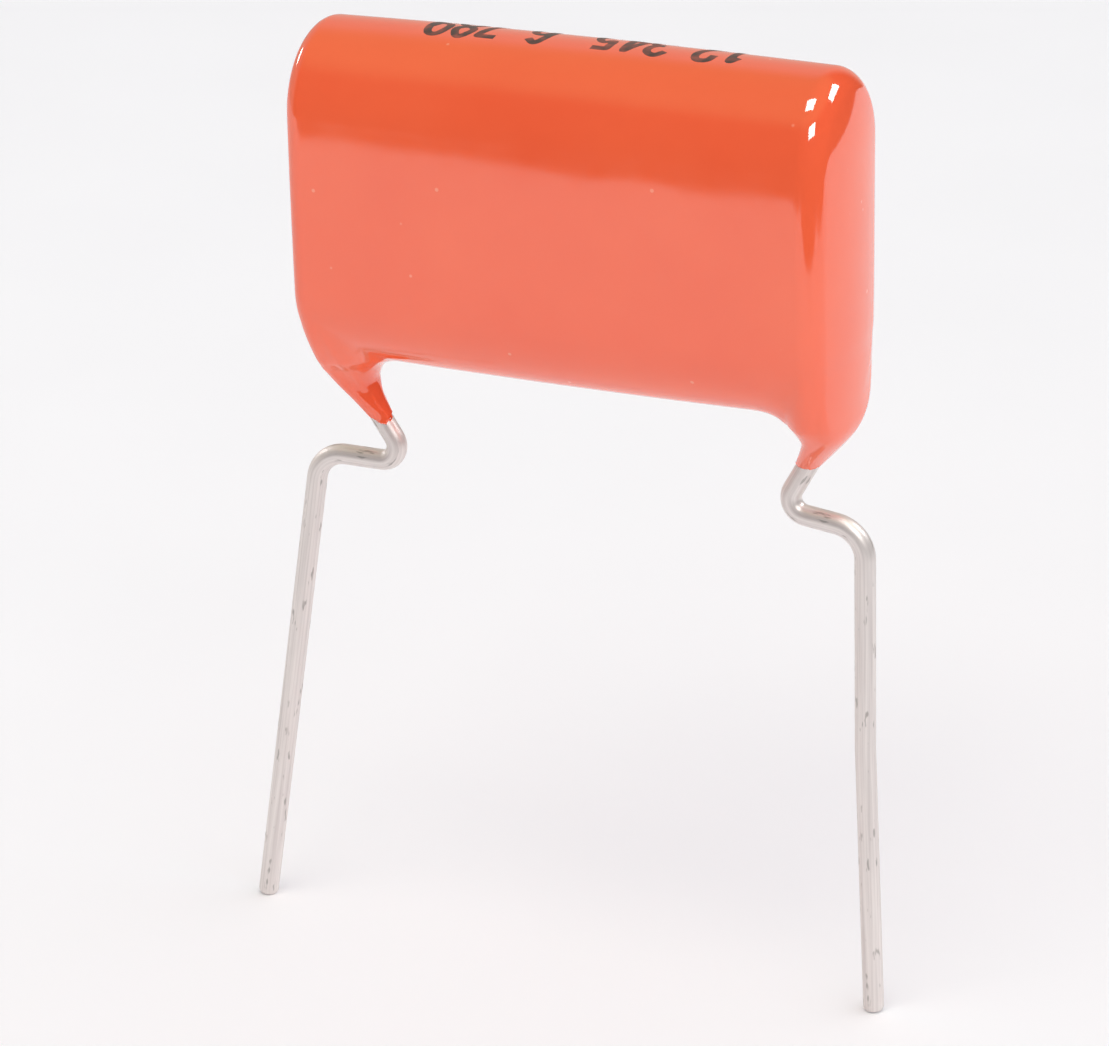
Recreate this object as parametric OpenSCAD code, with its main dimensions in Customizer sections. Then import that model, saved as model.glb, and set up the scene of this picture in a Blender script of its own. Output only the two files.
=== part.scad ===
// Dipped film capacitor with kinked leads.
// A flattened roll of metallised film, sprayed with zinc at both ends, carries a welded wire at each end
// and is dipped in epoxy, which also runs a little way down the wires. Millimetres, +Z up, +X from the
// left lead to the right one. The origin lies on the top face of the board that the kinks stand on,
// midway between the two leads.

/* [Body] */
// Length of the coated body, from end to end
body_length = 21.75; // [20:0.05:24]
// Thickness of the coated body, from front to back
body_width = 6.6; // [5.6:0.1:8.5]
// Height of the coated body, without its skirts
body_height = 13.2; // [10.5:0.1:17]
// Height of the body's underside above the board
body_lift = 4.7; // [4.4:0.1:6.5]
// Radius of the rounded edge round the left end
left_round = 0.5; // [0.4:0.05:1.2]
// Radius of the rounded edge round the right end
right_round = 0.75; // [0.4:0.05:1.2]
// How far the long faces swell out at mid-length
face_crown = 0.12; // [0.04:0.01:0.25]
// How far each end swells out at its middle
end_crown = 0.45; // [0.2:0.05:0.5]

/* [Coat] */
// Thickness of the coat over the winding's front, back, top and underside
coat_wall = 0.6; // [0.4:0.05:0.9]
// Thickness of the coat over the wire at each end
coat_end = 0.525; // [0.4:0.025:0.8]
// Thickness of the coat on the wire at the rim of a skirt
rim_wall = 0.05; // [0.03:0.01:0.15]
// How far the left skirt reaches below the body
left_skirt = 2.65; // [2:0.05:3]
// How far the right skirt reaches below the body
right_skirt = 2; // [1.8:0.05:3]
// Angle by which the left skirt widens outward from the slanting wire
left_flare = 10; // [8:1:24]
// Angle by which the right skirt widens outward from the slanting wire
right_flare = 16; // [8:1:24]
// Width over which the left skirt's outer edge turns up into the end of the body
left_ease = 1; // [0.2:0.05:1.2]
// Width over which the right skirt's outer edge turns up into the end of the body
right_ease = 0.35; // [0.2:0.05:1.2]
// Angle by which the left skirt widens to the front and the back
left_side_flare = 26; // [20:1:45]
// Angle by which the right skirt widens to the front and the back
right_side_flare = 44; // [20:1:45]
// Radius of the fillet between the left skirt and the body's underside
left_fillet = 0.6; // [0.4:0.05:1.3]
// Radius of the fillet between the right skirt and the body's underside
right_fillet = 1; // [0.4:0.05:1.3]

/* [Winding] */
// Thickness of the sprayed zinc layer on each end of the winding
spray_thickness = 0.4; // [0.25:0.05:0.6]

/* [Leads] */
// Diameter of the lead wire
lead_d = 0.8; // [0.6:0.05:1]
// Distance between the two leads at the board
lead_pitch = 22.5; // [21:0.1:24]
// Length of each lead below the board's top face
lead_below = 19.2; // [4:0.1:30]
// Length of wire that lies welded along the zinc layer
weld_length = 6; // [3:0.5:9]
// How deep the welded wire is pressed into the zinc layer
weld_sink = 0.1; // [0.05:0.01:0.2]
// How far below the body's underside the wire turns inward
turn_drop = 0.3; // [0.2:0.05:0.8]
// Bend radius of the wire where it turns inward
turn_bend = 0.8; // [0.6:0.1:1.2]
// How far the left wire steps outward in its kink
left_throw = 3.95; // [3.6:0.05:4.2]
// How far the right wire steps outward in its kink
right_throw = 3.3; // [3.1:0.05:4]
// Height of the left kink's inner corner above the board
left_kink_z = 0.4; // [0.3:0.05:0.9]
// Height of the right kink's inner corner above the board
right_kink_z = 0.8; // [0.3:0.05:0.9]
// Bend radius of the wire at a kink's inner corner
kink_bend = 0.65; // [0.55:0.05:0.75]
// Bend radius of the wire at a kink's shoulder
shoulder_bend = 1.3; // [1:0.1:1.5]
// Angle by which the left lead leans outward
left_splay = 9.4; // [0:0.1:12]
// Angle by which the right lead leans outward
right_splay = 1.5; // [0:0.1:12]

/* [Hidden] */
$fn = 64;

// Steps along each corner, long face and end of the body's outline
corner_steps = 8;
face_steps = 14;
end_steps = 6;
// Points round a skirt's ring, and steps up its straight part, its fillet and its root in the body
ring_points = 24;
straight_steps = 6;
fillet_steps = 6;
root_steps = 5;

lead_r = lead_d / 2;
// Wire draws a little thinner in its bends, and each bend runs on into the straight wire by a small angle
bend_thinning = lead_d / 200;
bend_overlap = 2;
body_r = body_width / 2;
body_straight = body_height - body_width;
body_middle_z = body_lift + body_height / 2;
// The outline before its faces swell
flat_length = body_length - 2 * end_crown;
flat_r = body_r - face_crown;

winding_length = body_length - 2 * (coat_end + lead_d - weld_sink + spray_thickness);
winding_width = body_width - 2 * coat_wall;
winding_height = body_height - 2 * coat_wall;
// Distance of the welded wire from the middle
weld_x = body_length / 2 - coat_end - lead_r;
weld_top_z = body_lift + coat_wall + weld_length;
turn_z = body_lift - turn_drop;
// A kink's outward run rests on the board at its shoulder
shoulder_z = lead_r;
// Axis of the body's round underside
underside_axis_z = body_lift + body_r;
// How far a skirt's root keeps inside the body's end
root_margin = 0.05;
// Shares of the end rounding and of the body's radius by which it keeps inside the body's front and
// below the body's widest place
root_side_share = 0.67;
root_top_share = 0.2;
root_limit_y = body_r - root_side_share * max(left_round, right_round);
root_top_z = underside_axis_z - root_top_share * body_r;
// Width over which a skirt's front and back turn up into the body
side_ease = 0.6;
// How far a skirt's root departs from an oval: squarer in its outer half, more pointed in its inner half
root_taper = 0.4;
// Height above the rim over which a skirt's inner edge follows the wire
skirt_hug = 0.5;
// A fillet meets the underside where the swell has lifted it
fillet_top_z = body_lift + face_crown;
// Radius of a wire with its coat, at the rim of a skirt
coated_r = lead_r + rim_wall;

coat_colour = "#EE7450";
film_colour = "#D9D4C4";
zinc_colour = "#8E9296";
tin_colour = "#D4D2CC";

// One point of the outline, moved out by the swell of the long faces and the ends
function swell(p) = [
    p.x * (1 + 2 * end_crown / flat_length * (1 - pow(p.y / flat_r, 2))),
    p.y * (1 + face_crown / flat_r * (1 - pow(2 * p.x / flat_length, 2)))
];

// Distance of the swollen end from the middle of the body, at a distance from the end's own middle
function end_x(y) = flat_length / 2 + end_crown * (1 - pow(y / flat_r, 2));

// A quarter of the outline, from the middle of the long face round a corner to the middle of the end
function quarter_outline(round) = let (
    corner_x = flat_length / 2 - round,
    corner_y = flat_r - round
) concat(
    [for (i = [0:face_steps / 2 - 1]) [corner_x * i / (face_steps / 2), flat_r]],
    [for (i = [0:corner_steps])
        let (a = 90 - 90 * i / corner_steps)
        [corner_x + round * cos(a), corner_y + round * sin(a)]],
    [for (i = [1:end_steps]) [flat_length / 2, corner_y * (1 - i / end_steps)]]
);

// Half of the outline, from the middle of the left end over the long face to the middle of the right end
function half_outline() = let (
    left = [for (p = quarter_outline(left_round)) swell(p)],
    right = [for (p = quarter_outline(right_round)) swell(p)]
) concat([for (i = [len(left) - 1:-1:1]) [-left[i].x, left[i].y]], right);

// The whole outline in plan
function plan_outline() = let (
    half = half_outline(),
    last = len(half) - 1
) concat(half, [for (i = [last - 1:-1:1]) [half[i].x, -half[i].y]]);

// Rounded long edge of the body: half a turn of the outline about the body's length
module body_cap() {
    rotate([0, 90, 0])
        rotate([0, 0, 90])
            rotate_extrude(angle = 180)
                polygon([for (p = half_outline()) [p.y, p.x]]);
}

module body_form() {
    translate([0, 0, body_middle_z]) {
        translate([0, 0, -body_straight / 2])
            linear_extrude(height = body_straight)
                polygon(plan_outline());
        translate([0, 0, body_straight / 2])
            body_cap();
        translate([0, 0, -body_straight / 2])
            mirror([0, 0, 1])
                body_cap();
    }
}

// Flat bar with half-round long edges, its length along X and its middle at the origin
module stadium_bar(length, width, height) {
    straight = height - width;
    translate([-length / 2, -width / 2, -straight / 2])
        cube([length, width, straight]);
    for (flip = [0, 180])
        rotate([flip, 0, 0])
            translate([-length / 2, 0, straight / 2])
                rotate([0, 90, 0])
                    rotate([0, 0, 90])
                        rotate_extrude(angle = 180)
                            square([width / 2, length]);
}

function direction(from, to) = (to - from) / norm(to - from);
function heading(v) = atan2(v.y, v.x);
function at(path, i) = [path[i].x, path[i].y];
// Signed turn of a path at its point i
function turn_at(path, i) = let (
    a = direction(at(path, i - 1), at(path, i)),
    b = direction(at(path, i), at(path, i + 1))
) atan2(a.x * b.y - a.y * b.x, a * b);
// Length of straight wire that the bend at point i takes from each side
function bend_reach(path, i) =
    i == 0 || i == len(path) - 1 ? 0 : path[i].z * tan(abs(turn_at(path, i)) / 2);

// Round wire along a flat path whose points are [across, up, bend radius]
module wire(path) {
    rotate([90, 0, 0]) {
        for (i = [0:len(path) - 2]) {
            along = direction(at(path, i), at(path, i + 1));
            start = at(path, i) + along * bend_reach(path, i);
            stop = at(path, i + 1) - along * bend_reach(path, i + 1);
            translate([start.x, start.y, 0])
                rotate([0, 0, heading(along)])
                    rotate([0, 90, 0])
                        cylinder(h = norm(stop - start), r = lead_r);
        }
        for (i = [1:len(path) - 2]) {
            along = direction(at(path, i - 1), at(path, i));
            turn = turn_at(path, i);
            side = sign(turn);
            bend = path[i].z;
            middle = at(path, i) - along * bend_reach(path, i) + bend * side * [-along.y, along.x];
            translate([middle.x, middle.y, 0])
                rotate([0, 0, heading(along) - side * 90 + min(turn, 0) - bend_overlap])
                    rotate_extrude(angle = abs(turn) + 2 * bend_overlap)
                        translate([bend, 0])
                            circle(r = lead_r - bend_thinning);
        }
    }
}

// Distance of a leaning lead from the middle, at a height
function leg_x(z, splay) = lead_pitch / 2 - z * tan(splay);

// Path of a lead on the right-hand side: weld, inward turn, kink, shoulder, tip
function lead_path(throw, kink_z, splay) = [
    [weld_x, weld_top_z, 0],
    [weld_x, turn_z, turn_bend],
    [lead_pitch / 2 - throw, kink_z, kink_bend],
    [leg_x(shoulder_z, splay), shoulder_z, shoulder_bend],
    [leg_x(-lead_below, splay), -lead_below, 0]
];

left_path = lead_path(left_throw, left_kink_z, left_splay);
right_path = lead_path(right_throw, right_kink_z, right_splay);

// Angle of a lead's slanting length from upright
function slant(path) = atan2(path[1].x - path[2].x, path[1].y - path[2].y);
// Distance of a lead's axis from the middle, at a height above its kink
function wire_x(path, z) = path[1].x - max(0, path[1].y - z) * tan(slant(path));
// Half of the space that the slanting coated wire takes in a level cut
function rim_half(path) = coated_r / cos(slant(path));

// The lesser of two values, eased over a width where they meet
function eased_min(a, b, width) = (a + b - sqrt(pow(a - b, 2) + width * width)) / 2;

// Outer edge of a skirt, at a height: a line that leans out past the wire, eased into the end of the body
function skirt_outer(path, rim_z, flare, ease, z) = let (
    line = wire_x(path, rim_z) + rim_half(path) + (z - rim_z) * tan(slant(path) + flare)
) max(wire_x(path, z) + rim_half(path), eased_min(line, body_length / 2, ease));

// Inner edge of a skirt, at a height: along the wire, then at half the wire's slant, then the fillet
function skirt_inner(path, rim_z, fillet, z) = let (
    lean = slant(path) / 2,
    lean_z = rim_z + skirt_hug,
    lean_x = wire_x(path, lean_z) - rim_half(path),
    middle_z = fillet_top_z - fillet,
    middle_x = lean_x + (middle_z - lean_z) * tan(lean) - fillet / cos(lean),
    above = min(z, fillet_top_z) - middle_z
)
    z < lean_z ? wire_x(path, z) - rim_half(path)
    : above < -fillet * sin(lean) ? lean_x + (z - lean_z) * tan(lean)
    : middle_x + sqrt(max(0, fillet * fillet - above * above));

// Half of a skirt's width from front to back, at a height, eased to stay inside the body
function skirt_side(rim_z, flare, z) = let (
    ease = side_ease * (z - rim_z) / (root_top_z - rim_z)
) eased_min(coated_r + (z - rim_z) * tan(flare), root_limit_y, ease);

// How far the body's round underside has risen at a distance from its middle
function underside_rise(y) = body_r - sqrt(body_r * body_r - y * y);

// Heights of a skirt's rings, from its rim up into the body
function ring_heights(path, rim_z, fillet) = let (
    lean = slant(path) / 2,
    middle_z = fillet_top_z - fillet,
    fillet_start = middle_z - fillet * sin(lean)
) concat(
    [for (i = [0:straight_steps - 1]) rim_z + (fillet_start - rim_z) * i / straight_steps],
    [for (i = [0:fillet_steps])
        let (a = -lean + (90 + lean) * i / fillet_steps)
        middle_z + fillet * sin(a)],
    [for (i = [1:root_steps]) fillet_top_z + (root_top_z - fillet_top_z) * i / root_steps]
);

function signed_pow(value, power) = sign(value) * pow(abs(value), power);

// One ring of a skirt round the wire's axis: an oval at the rim, squarer outward and more pointed inward
// higher up, its inner half lifted to follow the underside
function skirt_ring(path, rim_z, flare, ease, side_flare, fillet, z) = let (
    middle = wire_x(path, z),
    outward = skirt_outer(path, rim_z, flare, ease, z) - middle,
    inward = middle - skirt_inner(path, rim_z, fillet, z),
    side = skirt_side(rim_z, side_flare, z),
    share = min(1, (z - rim_z) / (fillet_top_z - rim_z))
) [for (i = [0:ring_points - 1])
    let (
        a = 360 * i / ring_points,
        outer = cos(a) > 0,
        power = 1 + root_taper * share * (outer ? -1 : 1),
        x = signed_pow(cos(a), power) * (outer ? outward : inward),
        y = signed_pow(sin(a), power) * side,
        lift = max(0, -cos(a)) * share * underside_rise(y)
    )
    [min(middle + x, end_x(y) - root_margin), y, z + lift]];

// Closed solid lofted through rings of equal point counts
module ring_loft(rings) {
    count = len(rings[0]);
    top = len(rings) - 1;
    sides = [for (k = [0:top - 1], i = [0:count - 1])
        let (
            next = (i + 1) % count,
            low = k * count,
            high = low + count
        )
        each [[low + i, high + i, high + next], [low + i, high + next, low + next]]];
    rim = [for (i = [0:count - 1]) i];
    lid = [for (i = [count - 1:-1:0]) top * count + i];
    polyhedron(points = [for (ring = rings) each ring], faces = concat([rim, lid], sides));
}

// Skirt that the dip leaves on a right-hand lead, its rim level
module skirt_form(path, reach, flare, ease, side_flare, fillet) {
    rim_z = body_lift - reach;
    ring_loft([for (z = ring_heights(path, rim_z, fillet))
        skirt_ring(path, rim_z, flare, ease, side_flare, fillet, z)]);
}

module winding_form() {
    translate([0, 0, body_middle_z])
        stadium_bar(winding_length, winding_width, winding_height);
}

module spray_form() {
    translate([(winding_length + spray_thickness) / 2, 0, body_middle_z])
        stadium_bar(spray_thickness, winding_width, winding_height);
}

module left_side() {
    mirror([1, 0, 0]) children();
}

module epoxy_coat() {
    color(coat_colour)
        difference() {
            union() {
                body_form();
                left_side()
                    skirt_form(
                        left_path, left_skirt, left_flare, left_ease, left_side_flare, left_fillet
                    );
                skirt_form(
                    right_path, right_skirt, right_flare, right_ease, right_side_flare, right_fillet
                );
            }
            winding_form();
            left_side() spray_form();
            spray_form();
            left_side() wire(left_path);
            wire(right_path);
        }
}

module film_winding() {
    color(film_colour)
        winding_form();
}

module end_spray_left() {
    color(zinc_colour)
        left_side()
            difference() {
                spray_form();
                wire(left_path);
            }
}

module end_spray_right() {
    color(zinc_colour)
        difference() {
            spray_form();
            wire(right_path);
        }
}

module lead_left() {
    color(tin_colour)
        left_side() wire(left_path);
}

module lead_right() {
    color(tin_colour)
        wire(right_path);
}

epoxy_coat();
film_winding();
end_spray_left();
end_spray_right();
lead_left();
lead_right();
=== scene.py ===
"""Looks of a dipped film capacitor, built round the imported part.

Lengths are written in millimetres and become metres where they reach Blender.
"""
import math
from dataclasses import dataclass
from itertools import product

import bpy
import numpy as np
from mathutils import Matrix, Vector


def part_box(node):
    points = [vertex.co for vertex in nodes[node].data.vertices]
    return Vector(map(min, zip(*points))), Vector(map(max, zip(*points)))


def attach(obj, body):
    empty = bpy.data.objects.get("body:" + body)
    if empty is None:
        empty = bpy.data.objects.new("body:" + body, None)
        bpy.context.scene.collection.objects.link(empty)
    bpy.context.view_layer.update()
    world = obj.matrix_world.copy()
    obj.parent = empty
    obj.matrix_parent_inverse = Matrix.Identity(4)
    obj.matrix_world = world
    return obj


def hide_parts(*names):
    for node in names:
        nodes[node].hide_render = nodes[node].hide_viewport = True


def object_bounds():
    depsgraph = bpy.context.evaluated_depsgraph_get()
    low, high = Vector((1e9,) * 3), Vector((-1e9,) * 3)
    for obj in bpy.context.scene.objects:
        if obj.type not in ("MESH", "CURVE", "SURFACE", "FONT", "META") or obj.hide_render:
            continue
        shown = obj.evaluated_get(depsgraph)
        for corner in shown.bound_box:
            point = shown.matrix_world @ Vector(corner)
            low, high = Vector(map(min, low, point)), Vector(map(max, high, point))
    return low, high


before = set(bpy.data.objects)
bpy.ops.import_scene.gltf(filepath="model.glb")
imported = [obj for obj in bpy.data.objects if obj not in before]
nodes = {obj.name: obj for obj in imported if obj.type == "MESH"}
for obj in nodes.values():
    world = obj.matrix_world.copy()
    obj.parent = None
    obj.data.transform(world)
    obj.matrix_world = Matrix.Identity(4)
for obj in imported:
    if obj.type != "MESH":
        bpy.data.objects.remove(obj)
cad_box = [list(corner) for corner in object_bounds()]

MM = 0.001
SEED = 7

# The photograph's frame, and the camera fitted to it
IMAGE_WIDTH = 1109
FOCAL_PIXELS = 4302
SENSOR_WIDTH = 36
CAMERA_AZIMUTH = math.radians(24.944)
CAMERA_ELEVATION = math.radians(21.972)
CAMERA_ROLL = math.radians(-1.196)
CAMERA_DISTANCE = 162.89
CAMERA_TARGET = Vector((-1.282, 0, -1.15))
CAMERA_CLIP = 1

# Body, from the coat's box in the part
coat_low, coat_high = [np.array(corner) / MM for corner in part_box("epoxy_coat")]
BODY_LENGTH = coat_high[0] - coat_low[0]
BODY_WIDTH = coat_high[1] - coat_low[1]
BODY_TOP = coat_high[2]
BODY_LIFT = 4.7
BODY_R = BODY_WIDTH / 2
# Rounding of the edges round the left and the right end
LEFT_ROUND = 0.5
RIGHT_ROUND = 0.75
# How far the long faces and the ends bulge at their middles
FACE_CROWN = 0.12
END_CROWN = 0.45
# How far the long faces fall back towards the top and the underside
FACE_FALL = 0.05
# The coat keeps this far inside the part's box, so that the print on it does too
COAT_INSET = 0.01

# Wire
LEAD_R = 0.4
RIM_WALL = 0.05
COATED_R = LEAD_R + RIM_WALL
COAT_END = 0.525
COAT_WALL = 0.6
LEAD_PITCH = 22.5
LEAD_BELOW = 19.2
WELD_LENGTH = 6
TURN_DROP = 0.3
TURN_BEND = 0.8
KINK_BEND = 0.65
SHOULDER_BEND = 1.3
WELD_X = BODY_LENGTH / 2 - COAT_END - LEAD_R
WELD_TOP_Z = BODY_LIFT + COAT_WALL + WELD_LENGTH
TURN_Z = BODY_LIFT - TURN_DROP

# Skirts
# No skirt reaches nearer to the middle of the body than this
SKIRT_START_X = BODY_LENGTH / 5
# Slant of a skirt's inner edge, as a share of the wire's
SKIRT_LEAN = 0.34
# How far a skirt's root stays inside the body's faces and its end
ROOT_SIDE_INSET = 0.5
ROOT_LIMIT_Y = BODY_R - ROOT_SIDE_INSET
ROOT_MARGIN = 0.05
# Top of the root: below the middle of the rounded underside by a share of its radius
ROOT_DROP_SHARE = 0.2
UNDERSIDE_AXIS_Z = BODY_LIFT + BODY_R
ROOT_TOP_Z = UNDERSIDE_AXIS_Z - ROOT_DROP_SHARE * BODY_R
# How much squarer than an ellipse a skirt's outer half is at its root
ROOT_SQUARENESS = 0.4
# How softly a skirt's front and back stop widening at its root
SIDE_EASE = 1.1
# Height at which the fillets under the body are full
FILLET_TOP_Z = BODY_LIFT + FACE_CROWN
# Width over which a skirt runs into the body at its front and back, and at the body's end
SIDE_BLEND = 1.3
END_BLEND = 0.5
# How soon the blend narrows towards the body's end, and how softly a skirt's two halves meet
END_NARROWING = 1.5
HALVES_EASE = 0.6
# Share of the blend that is left at the top of the root
LEAST_FADE = 0.01
# Rounding of a skirt's rim, and the side of the wire that its drip hangs on
RIM_ROUND = 0.04
DRIP_SIDE = (math.sin(CAMERA_AZIMUTH), -math.cos(CAMERA_AZIMUTH))

# Slow waves of the dipped surface
WOBBLE_WAVES = 14
WOBBLE_LENGTHS = (3, 9)
WOBBLE_SLOPE = 0.004

# The coat's mesh: its grid step, the spare cells round it, and the rounds that even it out
COAT_STEP = 0.13
SPARE_CELLS = 3
SETTLE_ROUNDS = 4
RELAX_ROUNDS = 3
RELAX_SETTLE_ROUNDS = 2
# Edges that turn by more than this are drawn sharp
COAT_SHARP = math.radians(35)
WIRE_SHARP = math.radians(40)
# Floors that keep a division from failing
LEAST_SQUARE = 1e-6
LEAST_LENGTH = 1e-12


@dataclass
class Lead:
    """One lead and the skirt on it. Distances across are counted outward from the middle."""

    # -1 for the left lead, 1 for the right
    side: int
    # How far the kink lies inside the pin, how high, and how far the pin leans out, in degrees
    throw: float
    kink_z: float
    splay: float
    # How far the skirt reaches below the body, and the stretch of it that keeps to the wire
    reach: float
    hug: float
    # Angle between the skirt's outer edge and the wire, and the ease of that edge into the body's end
    flare: float
    ease: float
    # Angle at which the skirt's front and back open, and the width of its fillet on the inner side
    side_flare: float
    fillet: float
    # On the inner side: extra width away from the middle plane, and the narrowing towards the edge
    spread: float
    taper: float
    # Length of the drip under the rim
    drip: float

    def corners(self):
        """Points of the wire's path as (across, up, bend radius)."""
        lean = math.tan(math.radians(self.splay))
        half_pitch = LEAD_PITCH / 2
        return [
            (WELD_X, WELD_TOP_Z, 0),
            (WELD_X, TURN_Z, TURN_BEND),
            (half_pitch - self.throw, self.kink_z, KINK_BEND),
            (half_pitch - LEAD_R * lean, LEAD_R, SHOULDER_BEND),
            (half_pitch + LEAD_BELOW * lean, -LEAD_BELOW, 0),
        ]

    def slant(self):
        """Angle of the wire above its kink from upright."""
        return math.atan2(WELD_X - LEAD_PITCH / 2 + self.throw, TURN_Z - self.kink_z)

    def wire_x(self, z):
        """Distance of the wire's middle across, at a height above the kink."""
        return WELD_X - np.maximum(TURN_Z - z, 0) * math.tan(self.slant())

    def rim_z(self):
        """Height of the skirt's rim, without its drip."""
        return BODY_LIFT - self.reach

    def rim_half(self):
        """Half the length of a level cut through the coated wire."""
        return COATED_R / math.cos(self.slant())


LEFT = Lead(
    side=-1,
    throw=3.95,
    kink_z=0.4,
    splay=9.4,
    reach=2.45,
    hug=1.4,
    flare=9,
    ease=1,
    side_flare=27,
    fillet=2.4,
    spread=0,
    taper=0.25,
    drip=0.3,
)
RIGHT = Lead(
    side=1,
    throw=3.3,
    kink_z=0.8,
    splay=1.5,
    reach=2,
    hug=1.3,
    flare=15,
    ease=0.35,
    side_flare=44,
    fillet=1.3,
    spread=1.2,
    taper=0.25,
    drip=0.08,
)


# Form of the coat


def smooth_min(a, b, width):
    """The lesser of two fields, rounded over a width where they meet."""
    share = np.clip(0.5 + 0.5 * (b - a) / width, 0, 1)
    return b + (a - b) * share - width * share * (1 - share)


def eased_min(a, b, width):
    """The lesser of two values, joined by a hyperbola of a width."""
    return (a + b - np.sqrt((a - b) ** 2 + width * width)) / 2


def body_field(points):
    """Signed distance to the flattened roll: a rounded oblong swept round the roll's flat core."""
    flat_length = BODY_LENGTH - 2 * END_CROWN
    flat_r = BODY_R - FACE_CROWN
    half_straight = (BODY_TOP - BODY_LIFT) / 2 - BODY_R + FACE_FALL
    x = points[..., 0]
    up = np.abs(points[..., 2] - (BODY_TOP + BODY_LIFT) / 2)
    radial = np.hypot(points[..., 1], np.maximum(up - half_straight, 0))
    crown = FACE_CROWN * (1 - (2 * x / flat_length) ** 2)
    fall = FACE_FALL * np.minimum(up / half_straight, 1) ** 2
    half_width = flat_r + crown - fall
    half_length = flat_length / 2 + END_CROWN * (1 - (radial / flat_r) ** 2)
    corner = np.where(x < 0, LEFT_ROUND, RIGHT_ROUND)
    past_end = np.abs(x) - half_length + corner
    past_face = radial - half_width + corner
    outside = np.hypot(np.maximum(past_end, 0), np.maximum(past_face, 0))
    inside = np.minimum(np.maximum(past_end, past_face), 0)
    return outside + inside - corner


def skirt_outer(lead, z):
    """Outer edge of a skirt at a height, eased into the end of the body."""
    rim_z = lead.rim_z()
    slope = math.tan(lead.slant() + math.radians(lead.flare))
    line = lead.wire_x(rim_z) + lead.rim_half() + (z - rim_z) * slope
    return np.maximum(lead.wire_x(z) + lead.rim_half(), eased_min(line, BODY_LENGTH / 2, lead.ease))


def skirt_inner(lead, z):
    """Inner edge of a skirt at a height: along the wire, then more upright."""
    hug_z = lead.rim_z() + lead.hug
    hug_x = lead.wire_x(hug_z) - lead.rim_half()
    leaning = hug_x + (z - hug_z) * math.tan(lead.slant() * SKIRT_LEAN)
    return np.where(z < hug_z, lead.wire_x(z) - lead.rim_half(), leaning)


def skirt_field(lead, points):
    """Rough signed distance to the funnel of coat round a lead, and its blend width with the body."""
    rim_z = lead.rim_z()
    y = points[..., 1]
    z = np.clip(points[..., 2], rim_z - lead.drip, ROOT_TOP_Z)
    above = np.maximum(z - rim_z, 0)
    middle = lead.wire_x(z)
    across = points[..., 0] * lead.side - middle
    share = np.minimum(above / (FILLET_TOP_Z - rim_z), 1)
    ease = SIDE_EASE * above / (ROOT_TOP_Z - rim_z)
    flare = math.tan(math.radians(lead.side_flare))
    half_width = eased_min(COATED_R + above * flare, ROOT_LIMIT_Y, ease)
    outward = skirt_outer(lead, z) - middle
    inward = middle - skirt_inner(lead, z)
    power = 2 / (1 - ROOT_SQUARENESS * share)
    out_share = np.maximum(across, 0) / outward
    outer = (out_share**power + np.abs(y / half_width) ** power) ** (1 / power)
    spread = 1 + lead.spread * share * np.minimum(np.abs(y) / half_width, 1)
    in_share = np.clip(-across / (inward * spread), 0, 1)
    narrowed = half_width * (1 - lead.taper * share * in_share**2)
    inner = np.hypot(-across / (inward * spread), y / narrowed)
    ring = np.where(across > 0, outer, inner)
    half = 0.5 + 0.5 * np.tanh(across / HALVES_EASE)
    size = np.minimum(inward + (outward - inward) * half, half_width)
    dome = BODY_LENGTH / 2 - END_CROWN * (y / (BODY_R - FACE_CROWN)) ** 2 - ROOT_MARGIN
    field = np.maximum((ring - 1) * size, points[..., 0] * lead.side - dome)
    field = np.maximum(field, points[..., 2] - ROOT_TOP_Z)
    blend = SIDE_BLEND + (END_BLEND - SIDE_BLEND) * np.minimum(END_NARROWING * out_share, 1) ** 2
    blend = blend + (lead.fillet - SIDE_BLEND) * in_share**2
    fade = (ROOT_TOP_Z - points[..., 2]) / (ROOT_TOP_Z - FILLET_TOP_Z)
    return field, blend * np.clip(fade, LEAST_FADE, 1)


def rim_height(lead, points):
    """Height of a skirt's rim round the wire, with its drip on one side."""
    away = points[..., :2] - np.stack(
        [lead.side * lead.wire_x(points[..., 2]), np.zeros(points.shape[:-1])], axis=-1
    )
    facing = away @ np.array(DRIP_SIDE) / np.maximum(np.linalg.norm(away, axis=-1), LEAD_R / 2)
    return lead.rim_z() - lead.drip * np.maximum(facing, 0) ** 2


def wobble(points):
    """Slow unevenness of a dipped surface: a few long waves in fixed random directions."""
    rng = np.random.default_rng(SEED)
    total = np.zeros(points.shape[:-1])
    for _ in range(WOBBLE_WAVES):
        heading = rng.normal(size=3)
        heading /= np.linalg.norm(heading)
        length = rng.uniform(*WOBBLE_LENGTHS)
        phase = rng.uniform(0, 2 * math.pi)
        total += np.cos(points @ heading * (2 * math.pi / length) + phase) * length
    return total * WOBBLE_SLOPE / (2 * math.pi * math.sqrt(WOBBLE_WAVES))


def coat_field(points):
    """Rough signed distance to the outside of the coat, negative inside."""
    field = body_field(points)
    for lead in (LEFT, RIGHT):
        near = points[..., 0] * lead.side > SKIRT_START_X
        skirt, blend = skirt_field(lead, points)
        skirt = -smooth_min(-skirt, points[..., 2] - rim_height(lead, points), RIM_ROUND)
        field = np.where(near, smooth_min(field, skirt, blend), field)
    return field + COAT_INSET + wobble(points)


def gradient(field, points, reach=0.005):
    """Slope of a field at points, from its values a short reach to each side."""
    slopes = []
    for axis in np.eye(3):
        slopes.append((field(points + reach * axis) - field(points - reach * axis)) / (2 * reach))
    return np.stack(slopes, axis=-1)


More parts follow.
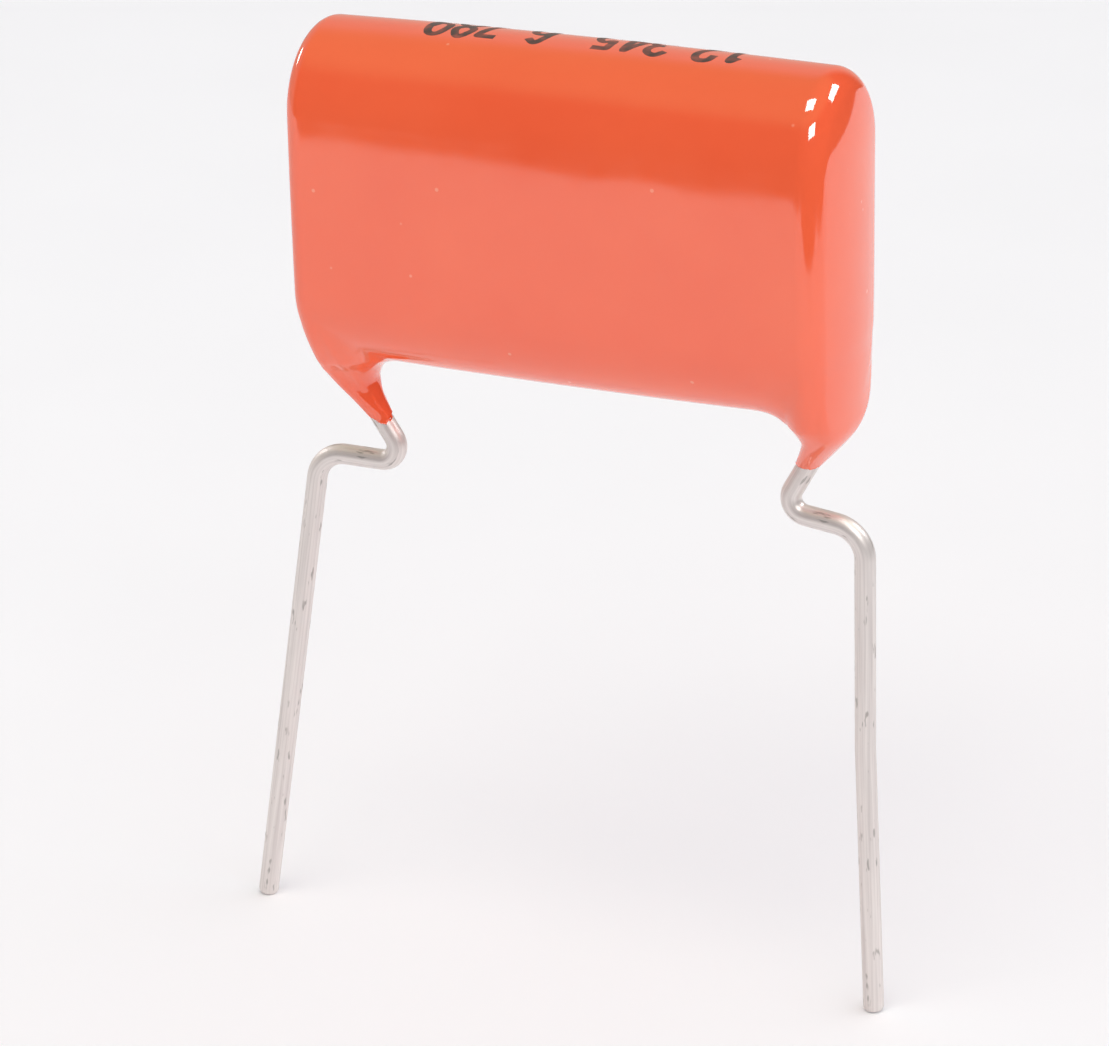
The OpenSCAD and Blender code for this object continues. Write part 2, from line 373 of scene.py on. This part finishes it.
def settle(field, points, rounds, limit):
    """Move points down the field's slope onto its surface."""
    for _ in range(rounds):
        slope = gradient(field, points)
        square = np.maximum((slope**2).sum(axis=-1, keepdims=True), LEAST_SQUARE)
        move = field(points)[..., None] * slope / square
        length = np.maximum(np.linalg.norm(move, axis=-1, keepdims=True), LEAST_LENGTH)
        points = points - move * np.minimum(1, limit / length)
    return points


def crossed_cells(inside):
    """The grid's cells that have some corners inside and some outside."""
    counts = [n - 1 for n in inside.shape]
    corners = np.zeros(counts, int)
    shifts = list(product((0, 1), repeat=3))
    for i, j, k in shifts:
        corners += inside[i : i + counts[0], j : j + counts[1], k : k + counts[2]]
    return (corners > 0) & (corners < len(shifts))


def surface_net(field, low, high, step):
    """Quads over a field's surface: one point in each cell that the surface crosses."""
    axes = [np.arange(a, b + step, step) for a, b in zip(low, high)]
    grid = np.stack(np.meshgrid(*axes, indexing="ij"), axis=-1)
    inside = field(grid) < 0
    crossed = crossed_cells(inside)
    index = np.full(crossed.shape, -1)
    index[crossed] = np.arange(crossed.sum())
    points = np.array(low) + (np.argwhere(crossed) + 0.5) * step
    quads = []
    for axis in range(3):
        first, second = [a for a in range(3) if a != axis]
        before = np.take(inside, range(inside.shape[axis] - 1), axis)
        after = np.take(inside, range(1, inside.shape[axis]), axis)
        edges = np.argwhere(before != after)
        rising = before[before != after]
        ring = []
        for shift_first, shift_second in ((-1, -1), (0, -1), (0, 0), (-1, 0)):
            cells = edges.copy()
            cells[:, first] += shift_first
            cells[:, second] += shift_second
            ring.append(index[tuple(cells.T)])
        faces = np.stack(ring, axis=-1)
        turned = rising if axis != 1 else ~rising
        faces[~turned] = faces[~turned][:, ::-1]
        quads.append(faces)
    return points, np.concatenate(quads)


def relaxed(points, quads):
    """Each point moved half way to the middle of its neighbours."""
    total = np.zeros_like(points)
    count = np.zeros(len(points))
    for a, b in ((0, 1), (1, 2), (2, 3), (3, 0)):
        for start, end in ((quads[:, a], quads[:, b]), (quads[:, b], quads[:, a])):
            np.add.at(total, start, points[end])
            np.add.at(count, start, 1)
    return (points + total / count[:, None]) / 2


def mesh_piece(name, points, faces):
    """A new mesh object from points in millimetres."""
    mesh = bpy.data.meshes.new(name)
    mesh.from_pydata((np.asarray(points) * MM).tolist(), [], [list(map(int, f)) for f in faces])
    mesh.update()
    piece = bpy.data.objects.new(name, mesh)
    bpy.context.scene.collection.objects.link(piece)
    return piece


def bare_coat():
    """The coat's outside as one closed mesh, before the winding and the wires are taken out of it."""
    margin = SPARE_CELLS * COAT_STEP
    low = coat_low - margin - np.array([0, 0, LEFT.drip])
    points, quads = surface_net(coat_field, low, coat_high + margin, COAT_STEP)
    points = settle(coat_field, points, rounds=SETTLE_ROUNDS, limit=COAT_STEP)
    for _ in range(RELAX_ROUNDS):
        points = settle(
            coat_field, relaxed(points, quads), rounds=RELAX_SETTLE_ROUNDS, limit=COAT_STEP
        )
    return mesh_piece("coat", points, quads)


def hollowed(piece, cutters):
    """Take the cutters' forms out of a piece."""
    for cutter in cutters:
        cut = piece.modifiers.new(cutter.name, "BOOLEAN")
        cut.operation = "DIFFERENCE"
        cut.solver = "EXACT"
        cut.object = cutter
    graph = bpy.context.evaluated_depsgraph_get()
    mesh = bpy.data.meshes.new_from_object(piece.evaluated_get(graph))
    piece.modifiers.clear()
    piece.data = mesh
    mesh.shade_smooth()
    mesh.set_sharp_from_angle(angle=COAT_SHARP)


# Leads

RING_POINTS = 32
RING_STEP = 0.12
# The right lead has a slight knee below its kink
KNEE_Z = -8.3
KNEE_SHIFT = -0.14
# Bevel at a cut tip
TIP_BEVEL = 0.05


def turned_by(vector, angle):
    """A flat vector turned by an angle."""
    return np.array(
        [
            vector[0] * math.cos(angle) - vector[1] * math.sin(angle),
            vector[0] * math.sin(angle) + vector[1] * math.cos(angle),
        ]
    )


def filled(line):
    """A line with points added, so that none lie further apart than a ring step."""
    close = [line[0]]
    for start, end in zip(line, line[1:]):
        steps = max(1, math.ceil(np.linalg.norm(end - start) / RING_STEP))
        close += [start + (end - start) * i / steps for i in range(1, steps + 1)]
    return np.array(close)


def bent_path(corners):
    """Centre line of a wire as close points, with its corners rounded to their bend radii."""
    flat = [np.array(c[:2], float) for c in corners]
    line = [flat[0]]
    for before, corner, after, bend in zip(flat, flat[1:], flat[2:], [c[2] for c in corners[1:]]):
        into = (corner - before) / np.linalg.norm(corner - before)
        out = (after - corner) / np.linalg.norm(after - corner)
        turn = math.atan2(into[0] * out[1] - into[1] * out[0], into @ out)
        reach = bend * math.tan(abs(turn) / 2)
        start = corner - into * reach
        inward = np.array([-into[1], into[0]]) * math.copysign(1, turn)
        middle = start + inward * bend
        steps = max(2, math.ceil(abs(turn) * bend / RING_STEP))
        line.append(start)
        line += [middle + turned_by(-inward * bend, turn * i / steps) for i in range(1, steps + 1)]
    line.append(flat[-1])
    return filled(line)


def lead_path(lead):
    """Centre line of a lead, with the right one's knee."""
    path = bent_path(lead.corners())
    if lead is RIGHT:
        below = path[:, 1] / KNEE_Z
        rest = (path[:, 1] + LEAD_BELOW) / (LEAD_BELOW + KNEE_Z)
        path[:, 0] += KNEE_SHIFT * np.clip(np.minimum(below, rest), 0, 1)
    return path


def wire_points(lead, path, travel):
    """Rings of points round a lead's path, which shrink at its bevelled tip."""
    along = np.gradient(path, axis=0)
    along /= np.linalg.norm(along, axis=1, keepdims=True)
    across = np.stack([along[:, 1], -along[:, 0]], axis=-1)
    radius = LEAD_R - np.maximum(TIP_BEVEL - (travel[-1] - travel), 0)
    points = []
    for centre, sideways, size in zip(path, across, radius):
        for spoke in range(RING_POINTS):
            angle = spoke * 2 * math.pi / RING_POINTS
            x, z = centre + sideways * math.cos(angle) * size
            points.append((x * lead.side, math.sin(angle) * size, z))
    return points


def wire_faces(lead, rings):
    """Quads between a wire's rings, and its two ends."""
    faces = []
    for low in range(0, (rings - 1) * RING_POINTS, RING_POINTS):
        for i in range(RING_POINTS):
            after = (i + 1) % RING_POINTS
            faces.append([low + i, low + after, low + RING_POINTS + after, low + RING_POINTS + i])
    tip_start = (rings - 1) * RING_POINTS
    faces.append(list(range(RING_POINTS))[::-1])
    faces.append(list(range(tip_start, tip_start + RING_POINTS)))
    return faces if lead.side > 0 else [face[::-1] for face in faces]


def map_along(mesh, travel):
    """A map of a wire's surface: once round it, and from its top to its tip."""
    uv = mesh.uv_layers.new(name="along")
    for polygon in mesh.polygons:
        vertices = [mesh.loops[loop].vertex_index for loop in polygon.loop_indices]
        spokes = [vertex % RING_POINTS for vertex in vertices]
        closes = RING_POINTS - 1 in spokes
        for loop, vertex, spoke in zip(polygon.loop_indices, vertices, spokes):
            turn = 1 if closes and spoke == 0 else spoke / RING_POINTS
            uv.data[loop].uv = (turn, travel[vertex // RING_POINTS] / travel[-1])


def lead_piece(name, lead):
    """Round wire swept along a lead's path, with a bevelled cut tip and a map that runs along it."""
    path = lead_path(lead)
    travel = np.concatenate([[0], np.cumsum(np.linalg.norm(np.diff(path, axis=0), axis=1))])
    piece = mesh_piece(name, wire_points(lead, path, travel), wire_faces(lead, len(path)))
    map_along(piece.data, travel)
    piece.data.shade_smooth()
    piece.data.set_sharp_from_angle(angle=WIRE_SHARP)
    return piece


# Print

PRINT_HEIGHT = 1.8
DIGIT_WIDTH = 0.7
DIGIT_PITCH = 1.05
STROKE_WIDTH = 0.3
# Rounds of corner cutting that turn a digit's few points into a smooth stroke, and how deep each cuts
STROKE_ROUNDS = 3
CUT_SHARE = 0.25
# The print's middle lies a little behind the crest
PRINT_BEHIND = 0.3
# How far the film of ink stands on the coat, and how far it reaches into it
PRINT_RISE = 0.004
PRINT_DEPTH = 0.02
# Plain numbers, and where each group starts along the crest, read from behind
PRINT_GROUPS = (("12", 6.5), ("345", 3.6), ("6", -1.1), ("789", -3))
# Points that each digit's stroke leans towards, in shares of its width and height
DIGITS = {
    "1": [(0.15, 0.75), (0.55, 1.05), (0.55, 0.6), (0.55, 0)],
    "2": [(0, 0.75), (0.1, 1.05), (0.9, 1.05), (1, 0.6), (0, 0), (0.1, 0), (1, 0)],
    "3": [(0, 0.85), (0.4, 1.1), (1.1, 0.9), (0.8, 0.5), (0.3, 0.5), (1.1, 0.45), (1, -0.05), (0, 0)],
    "4": [(1, 0.3), (0.5, 0.3), (0, 0.3), (0, 0.4), (0.6, 1), (0.7, 1), (0.7, 0.5), (0.7, 0)],
    "5": [
        (0.95, 1), (0.2, 1), (0.1, 1), (0.05, 0.45),
        (0.6, 0.75), (1.2, 0.35), (0.6, -0.1), (0, 0.05),
    ],
    "6": [
        (0.9, 0.9), (0.3, 1.15), (-0.1, 0.5), (0.1, -0.1),
        (0.9, -0.1), (1.1, 0.5), (0.3, 0.65), (0.03, 0.3),
    ],
    "7": [(0, 1), (0.9, 1), (1, 1), (0.95, 0.85), (0.35, 0)],
    "8": [
        (0.5, 0.5), (-0.1, 0.7), (0.3, 1.1), (0.7, 1.1), (1.1, 0.7), (0.5, 0.5),
        (-0.2, 0.3), (0.2, -0.1), (0.8, -0.1), (1.2, 0.3), (0.5, 0.5),
    ],
    "9": [
        (0.1, 0.1), (0.7, -0.15), (1.1, 0.5), (0.9, 1.1),
        (0.1, 1.1), (-0.1, 0.5), (0.7, 0.35), (0.97, 0.7),
    ],
}


def smooth_stroke(corners):
    """A line through a stroke's points with its corners cut again and again."""
    line = np.array(corners) * (DIGIT_WIDTH, PRINT_HEIGHT)
    for _ in range(STROKE_ROUNDS):
        early = line[:-1] * (1 - CUT_SHARE) + line[1:] * CUT_SHARE
        late = line[:-1] * CUT_SHARE + line[1:] * (1 - CUT_SHARE)
        inside = np.stack([early, late], axis=1).reshape(-1, 2)
        line = np.concatenate([line[:1], inside, line[-1:]])
    return line


def on_crest(flat, start):
    """Flat points of a print that starts at a place along the crest, wrapped onto the coat."""
    turn = (flat[:, 1] - PRINT_HEIGHT / 2 - PRINT_BEHIND) / BODY_R
    wrapped = np.stack(
        [
            start - flat[:, 0],
            -BODY_R * np.sin(turn),
            BODY_TOP - BODY_R * (1 - np.cos(turn)),
        ],
        axis=-1,
    )
    return settle(coat_field, wrapped, rounds=SETTLE_ROUNDS, limit=COAT_STEP)


def ink_rings(digit, start):
    """Rings of four corners along a digit's stroke: two on the coat and two just inside it."""
    line = smooth_stroke(DIGITS[digit])
    along = np.gradient(line, axis=0)
    along /= np.linalg.norm(along, axis=1, keepdims=True)
    aside = np.stack([-along[:, 1], along[:, 0]], axis=-1) * STROKE_WIDTH / 2
    edges = np.stack([line + aside, line - aside], axis=1).reshape(-1, 2)
    seated = on_crest(edges, start)
    out = gradient(coat_field, seated)
    out /= np.linalg.norm(out, axis=-1, keepdims=True)
    top = seated + out * PRINT_RISE
    low = seated - out * PRINT_DEPTH
    return np.stack([top[0::2], top[1::2], low[1::2], low[0::2]], axis=1)


def print_piece():
    """The numbers along the crest: each stroke is a thin closed film of ink that follows the coat."""
    points = []
    faces = []
    for digits, group_start in PRINT_GROUPS:
        for place, digit in enumerate(digits):
            rings = ink_rings(digit, group_start - place * DIGIT_PITCH)
            first = len(points)
            points += list(rings.reshape(-1, 3))
            last = len(points) - 4
            for ring in range(first, last, 4):
                for a in range(4):
                    b = (a + 1) % 4
                    faces.append((ring + a, ring + b, ring + 4 + b, ring + 4 + a))
            faces.append((first + 3, first + 2, first + 1, first))
            faces.append((last, last + 1, last + 2, last + 3))
    return mesh_piece("print", points, faces)


# Materials

# Tones that each material's colour varies between
EPOXY_TONES = ((0.89, 0.115, 0.043), (0.92, 0.132, 0.050))
SPECK_COLOUR = (0.93, 0.26, 0.15)
INK_TONES = ((0.05, 0.014, 0.010), (0.34, 0.06, 0.03))
TIN_TONES = ((0.67, 0.61, 0.59), (0.83, 0.77, 0.74))
SCORE_COLOUR = (0.45, 0.41, 0.39)
FILM_TONES = ((0.60, 0.57, 0.47), (0.72, 0.69, 0.58))
ZINC_TONES = ((0.22, 0.23, 0.25), (0.34, 0.35, 0.37))
FLOOR_TONES = ((0.95, 0.945, 0.96), (0.965, 0.96, 0.975))
# Streaks and scores on the wire: how many fit round it and along it
STREAK_COUNTS = (26, 5, 1)
SCORE_COUNTS = (11, 34, 1)


class Nodes:
    """Short calls to add and join the nodes of a material or a world."""

    def __init__(self, owner):
        owner.use_nodes = True
        self.tree = owner.node_tree

    def add(self, kind, settings=None, **inputs):
        """A new node, with its settings and the values of its inputs by name."""
        node = self.tree.nodes.new(kind)
        for name, value in (settings or {}).items():
            setattr(node, name, value)
        for name, value in inputs.items():
            node.inputs[name.replace("_", " ").title()].default_value = value
        return node

    def join(self, source, target):
        self.tree.links.new(source, target)

    def noise(self, where, scale, detail):
        node = self.add("ShaderNodeTexNoise", scale=scale, detail=detail)
        self.join(where, node.inputs["Vector"])
        return node.outputs["Fac"]

    def ramp(self, source, places, colours):
        """A colour ramp between two colours at two places."""
        node = self.add("ShaderNodeValToRGB")
        for element, place, colour in zip(node.color_ramp.elements, places, colours):
            element.position = place
            element.color = (*colour, 1)
        self.join(source, node.inputs["Fac"])
        return node.outputs["Color"]

    def span(self, source, start, end, low=0, high=1):
        """A smooth step between two values, as the source goes from start to end."""
        node = self.add(
            "ShaderNodeMapRange",
            {"interpolation_type": "SMOOTHSTEP"},
            from_min=start,
            from_max=end,
            to_min=low,
            to_max=high,
        )
        self.join(source, node.inputs["Value"])
        return node.outputs["Result"]

    def mix(self, factor, first, second):
        """A mix of two colours, each of them a colour or a socket."""
        node = self.add("ShaderNodeMix", {"data_type": "RGBA"})
        self.join(factor, node.inputs["Factor"])
        sockets = [s for s in node.inputs if s.type == "RGBA"]
        for socket, colour in zip(sockets, (first, second)):
            if isinstance(colour, tuple):
                socket.default_value = (*colour, 1)
            else:
                self.join(colour, socket)
        return next(s for s in node.outputs if s.type == "RGBA")


class Surface(Nodes):
    """The nodes of a new material."""

    def __init__(self, name, **constants):
        self.material = bpy.data.materials.new(name)
        super().__init__(self.material)
        self.shader = self.tree.nodes["Principled BSDF"]
        for socket, value in constants.items():
            self.shader.inputs[socket].default_value = value

    def place(self, output="Object"):
        return self.add("ShaderNodeTexCoord").outputs[output]

    def stretched(self, where, counts):
        """Coordinates multiplied by counts, so that a pattern draws out."""
        node = self.add("ShaderNodeMapping", scale=counts)
        self.join(where, node.inputs["Vector"])
        return node.outputs["Vector"]

    def wear(self, socket, source):
        """Let a source drive one of the shader's sockets."""
        self.join(source, self.shader.inputs[socket])

    def bump(self, height, strength, depth):
        node = self.add("ShaderNodeBump", strength=strength, distance=depth * MM)
        self.join(height, node.inputs["Height"])
        self.wear("Normal", node.outputs["Normal"])


def epoxy_material():
    """Orange dipped epoxy: clouded pigment, faint orange peel and a few pale specks in the coat."""
    surface = Surface("epoxy", IOR=1.85)
    where = surface.place()
    clouds = surface.noise(where, scale=180, detail=3)
    pigment = surface.ramp(clouds, (0.3, 0.7), EPOXY_TONES)
    cells = surface.add("ShaderNodeTexVoronoi", scale=700)
    surface.join(where, cells.inputs["Vector"])
    specks = surface.span(cells.outputs["Distance"], 0.03, 0.07, low=1, high=0)
    surface.wear("Base Color", surface.mix(specks, pigment, SPECK_COLOUR))
    peel = surface.noise(where, scale=1400, detail=2)
    surface.bump(peel, strength=0.03, depth=0.02)
    surface.wear("Roughness", surface.span(peel, 0.3, 0.7, low=0.05, high=0.075))
    return surface.material


def ink_material():
    """Dark brown print, thinner in places."""
    surface = Surface("ink", IOR=1.6)
    patches = surface.noise(surface.place(), scale=2200, detail=3)
    surface.wear("Base Color", surface.ramp(patches, (0.4, 0.75), INK_TONES))
    surface.wear("Roughness", surface.span(patches, 0.3, 0.7, low=0.4, high=0.55))
    return surface.material


def tin_material():
    """Pale drawn tin: soft streaks along the wire, and short dark scores."""
    surface = Surface("tinned_wire", Metallic=0.55)
    along = surface.place("UV")
    lines = surface.noise(surface.stretched(along, STREAK_COUNTS), scale=1, detail=4)
    tin = surface.ramp(lines, (0.3, 0.68), TIN_TONES)
    marks = surface.noise(surface.stretched(along, SCORE_COUNTS), scale=1, detail=2)
    scores = surface.span(marks, 0.62, 0.7)
    surface.wear("Base Color", surface.mix(scores, tin, SCORE_COLOUR))
    surface.wear("Roughness", surface.span(lines, 0.3, 0.7, low=0.5, high=0.4))
    surface.bump(marks, strength=0.25, depth=0.03)
    return surface.material


def grained_material(name, tones, scale, **constants):
    """A material whose colour varies between two tones."""
    surface = Surface(name, **constants)
    grains = surface.noise(surface.place(), scale=scale, detail=4)
    surface.wear("Base Color", surface.ramp(grains, (0.3, 0.7), tones))
    return surface.material


def dress(piece, material):
    piece.data.materials.clear()
    piece.data.materials.append(material)


# Stage

FLOOR_Z = cad_box[0][2] / MM
FLOOR_REACH = 600
FLOOR_OUTLINE = [(x * FLOOR_REACH, y * FLOOR_REACH) for x, y in ((-1, -1), (1, -1), (1, 1), (-1, 1))]
# Outline of the white plate that the part stands on. The part mirrors the plate, not the floor under it
PLATE_OUTLINE = [(-FLOOR_REACH, -116), (30, -116), (110, -30), (110, 300), (-FLOOR_REACH, 300)]
FLOOR_DROP = 0.02
# The room as the part mirrors it: dark to the front and the right, lit at the back left and overhead
ROOM_DARK = (0.03, 0.03, 0.03)
ROOM_WALL = (0.62, 0.58, 0.52)
ROOM_CEILING = (0.36, 0.40, 0.20)
WALL_SIDE = (-0.87, 0.5, 0)
# How far a heading points to the lit wall, and how far up, where each of them starts and is full
WALL_EDGE = (0.25, 0.6)
CEILING_EDGE = (0.6, 0.86)
# The room as it lights the part, from left to right, and as the camera sees it
LIGHT_LEFT = (0.41, 0.415, 0.43)
LIGHT_RIGHT = (1.24, 1.245, 1.275)
ROOM_SHOWN = (0.95, 0.95, 0.95)
# Lamps: headings from the part, and widths and heights as angles in degrees
LAMP_DISTANCE = 500
KEY_HEADING = (-0.1, -0.42, 0.9)
KEY_ANGLE = 34
KEY_RADIANCE = 1.85
KEY_COLOUR = (1, 0.93, 0.78)
GLINT_RADIANCE = 14
GLINTS = {
    "glint_back": ((0.589, 0.5, 0.635), 22, 16),
    "glint_top": ((0.04, -0.183, 0.977), 26, 16),
    "glint_right": ((0.569, -0.54, 0.62), 20, 16),
    "glint_left": ((-0.898, 0.194, 0.396), 14, 8),
}


def flat_piece(name, outline, z):
    """A flat piece of the stage at a height."""
    corners = [(x, y, z) for x, y in outline]
    piece = mesh_piece(name, corners, [range(len(corners))])
    return piece


def room_world():
    """White light, stronger from the right, with a darker room round it that only gloss shows."""
    world = bpy.data.worlds.new("room")
    bpy.context.scene.world = world
    room = Nodes(world)
    heading = room.add("ShaderNodeTexCoord").outputs["Generated"]
    axes = room.add("ShaderNodeSeparateXYZ")
    room.join(heading, axes.inputs["Vector"])
    side = room.add("ShaderNodeVectorMath", {"operation": "DOT_PRODUCT"})
    room.join(heading, side.inputs[0])
    side.inputs[1].default_value = WALL_SIDE
    walls = room.mix(room.span(side.outputs["Value"], *WALL_EDGE), ROOM_DARK, ROOM_WALL)
    mirrored = room.mix(room.span(axes.outputs["Z"], *CEILING_EDGE), walls, ROOM_CEILING)
    path = room.add("ShaderNodeLightPath")
    spread = room.mix(room.span(axes.outputs["X"], -1, 1), LIGHT_LEFT, LIGHT_RIGHT)
    light = room.mix(path.outputs["Is Glossy Ray"], spread, mirrored)
    shown = room.mix(path.outputs["Is Camera Ray"], light, ROOM_SHOWN)
    room.join(shown, room.tree.nodes["Background"].inputs["Color"])


def area_lamp(name, heading, width, height, radiance):
    """A lamp that faces the part from a heading. Its width and height are angles in degrees."""
    distance = LAMP_DISTANCE * MM
    data = bpy.data.lights.new(name, "AREA")
    data.shape = "RECTANGLE"
    data.size = 2 * distance * math.tan(math.radians(width / 2))
    data.size_y = 2 * distance * math.tan(math.radians(height / 2))
    data.energy = radiance * math.pi * data.size * data.size_y
    lamp = bpy.data.objects.new(name, data)
    away = Vector(heading).normalized()
    lamp.location = away * distance
    lamp.rotation_mode = "QUATERNION"
    lamp.rotation_quaternion = away.to_track_quat("Z", "Y")
    lamp.visible_camera = False
    bpy.context.scene.collection.objects.link(lamp)
    return lamp


def lamps():
    """One large soft lamp for the light and the shadow, and small ones that only glint on the gloss."""
    key = area_lamp("key", KEY_HEADING, KEY_ANGLE, KEY_ANGLE, KEY_RADIANCE)
    key.data.color = KEY_COLOUR
    key.visible_glossy = False
    for name, (heading, width, height) in GLINTS.items():
        lamp = area_lamp(name, heading, width, height, GLINT_RADIANCE)
        lamp.visible_diffuse = False


def photo_camera():
    """The camera at the photograph's place, turned by its roll."""
    back = Vector(
        (
            math.sin(CAMERA_AZIMUTH) * math.cos(CAMERA_ELEVATION),
            -math.cos(CAMERA_AZIMUTH) * math.cos(CAMERA_ELEVATION),
            math.sin(CAMERA_ELEVATION),
        )
    )
    right = Vector((math.cos(CAMERA_AZIMUTH), math.sin(CAMERA_AZIMUTH), 0))
    up = back.cross(right)
    rolled_right = math.cos(CAMERA_ROLL) * right + math.sin(CAMERA_ROLL) * up
    rolled_up = -math.sin(CAMERA_ROLL) * right + math.cos(CAMERA_ROLL) * up
    data = bpy.data.cameras.new("camera")
    data.sensor_fit = "HORIZONTAL"
    data.sensor_width = SENSOR_WIDTH
    data.lens = FOCAL_PIXELS / IMAGE_WIDTH * SENSOR_WIDTH
    data.clip_start = CAMERA_CLIP * MM
    camera = bpy.data.objects.new("camera", data)
    pose = Matrix((rolled_right, rolled_up, back)).transposed().to_4x4()
    pose.translation = (CAMERA_TARGET + back * CAMERA_DISTANCE) * MM
    camera.matrix_world = pose
    bpy.context.scene.collection.objects.link(camera)
    bpy.context.scene.camera = camera


# The scene

photo_camera()
room_world()
lamps()

wire_left = lead_piece("wire_left", LEFT)
wire_right = lead_piece("wire_right", RIGHT)
coat = bare_coat()
inner = [nodes[name] for name in ("film_winding", "end_spray_left", "end_spray_right")]
hollowed(coat, [*inner, wire_left, wire_right])
marking = print_piece()

tin = tin_material()
film = grained_material("film", FILM_TONES, scale=400, Roughness=0.35)
zinc = grained_material("zinc", ZINC_TONES, scale=900, Roughness=0.6, Metallic=1)
dress(coat, epoxy_material())
dress(marking, ink_material())
dress(wire_left, tin)
dress(wire_right, tin)
dress(nodes["film_winding"], film)
dress(nodes["end_spray_left"], zinc)
dress(nodes["end_spray_right"], zinc)

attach(marking, "root")
for piece, node, slot in (
    (coat, "epoxy_coat", "epoxy"),
    (wire_left, "lead_left", "tinned_wire"),
    (wire_right, "lead_right", "tinned_wire"),
):
    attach(piece, "root")
    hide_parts(node)

white = grained_material("floor", FLOOR_TONES, scale=60, Roughness=0.9)
plate = flat_piece("plate", PLATE_OUTLINE, FLOOR_Z)
floor = flat_piece("floor", FLOOR_OUTLINE, FLOOR_Z - FLOOR_DROP)
floor.visible_glossy = False
dress(plate, white)
dress(floor, white)

bpy.context.scene.view_settings.view_transform = "Standard"
